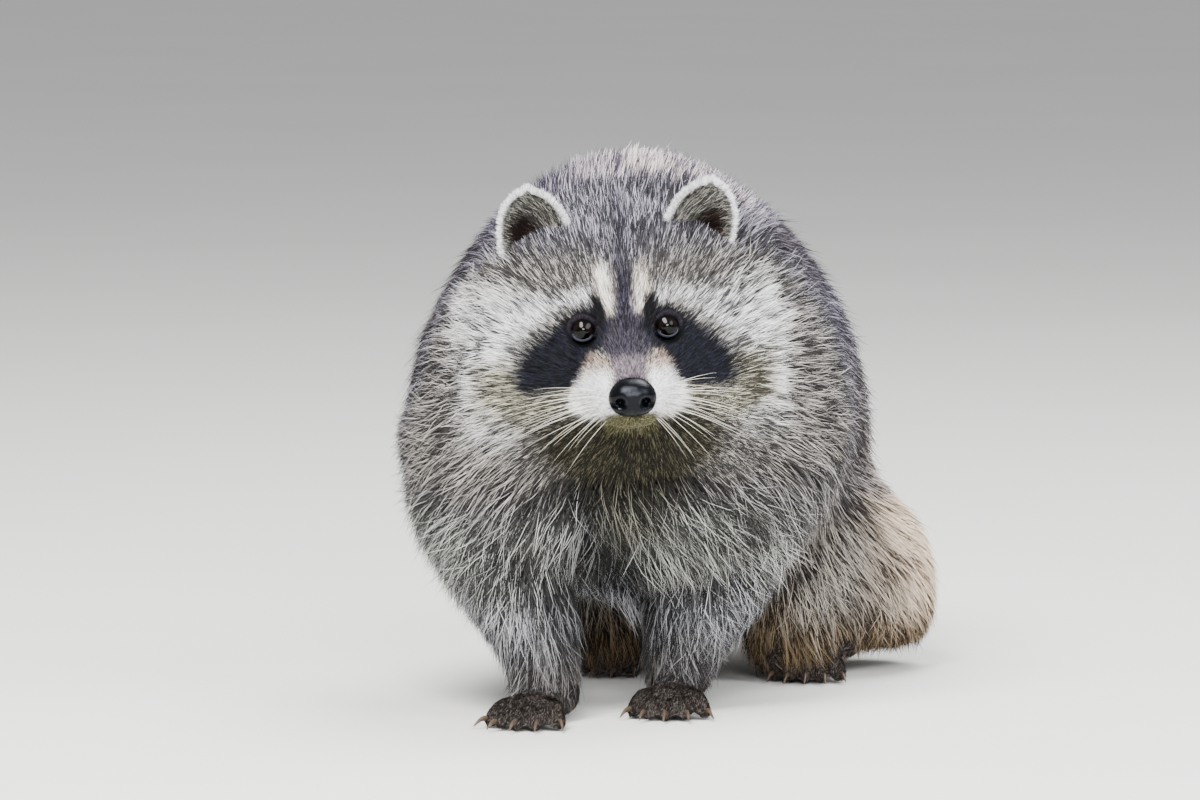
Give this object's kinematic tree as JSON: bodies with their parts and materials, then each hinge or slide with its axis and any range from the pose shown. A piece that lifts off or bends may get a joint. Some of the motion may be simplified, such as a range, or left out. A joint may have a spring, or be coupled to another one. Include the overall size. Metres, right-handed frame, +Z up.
{
  "type": "raccoon model",
  "caption": "Life-size still raccoon, hunched on four feet with lowered head turned to its left, full coat, masked face and ringed tail lying behind.",
  "frame": {"origin": "middle of the whole animal's footprint, on the floor", "axes": "+Z up, -Y the way the body faces, +X the animal's left"},
  "size_m": [0.2486, 0.6362, 0.2944],
  "materials": {
    "fur": "long grizzled grey-brown fur, matte",
    "ringed_fur": "dense fur in dark and pale rings, matte",
    "paw_hair": "short flat dark hair",
    "ear_hair": "short grey hair with a white rim",
    "eyeball": "wet, very dark brown",
    "nose_skin": "moist black pebbled skin",
    "claw_horn": "dark horn, satin"
  },
  "bodies": {
    "root": {"claw_front_left_1": "claw_horn", "claw_front_left_2": "claw_horn", "claw_front_left_3": "claw_horn", "claw_front_left_4": "claw_horn", "claw_front_left_5": "claw_horn", "claw_front_right_1": "claw_horn", "claw_front_right_2": "claw_horn", "claw_front_right_3": "claw_horn", "claw_front_right_4": "claw_horn", "claw_front_right_5": "claw_horn", "claw_hind_left_1": "claw_horn", "claw_hind_left_2": "claw_horn", "claw_hind_left_3": "claw_horn", "claw_hind_left_4": "claw_horn", "claw_hind_left_5": "claw_horn", "claw_hind_right_1": "claw_horn", "claw_hind_right_2": "claw_horn", "claw_hind_right_3": "claw_horn", "claw_hind_right_4": "claw_horn", "claw_hind_right_5": "claw_horn", "ear_left": "ear_hair", "ear_right": "ear_hair", "eye_left": "eyeball", "eye_right": "eyeball", "front_leg_left": "fur", "front_leg_right": "fur", "front_paw_left": "paw_hair", "front_paw_right": "paw_hair", "head": "fur", "hind_leg_left": "fur", "hind_leg_right": "fur", "hind_paw_left": "paw_hair", "hind_paw_right": "paw_hair", "neck": "fur", "nose": "nose_skin", "tail_base": "ringed_fur", "tail_middle": "ringed_fur", "tail_tip": "ringed_fur", "trunk": "fur"}
  },
  "joints": []
}
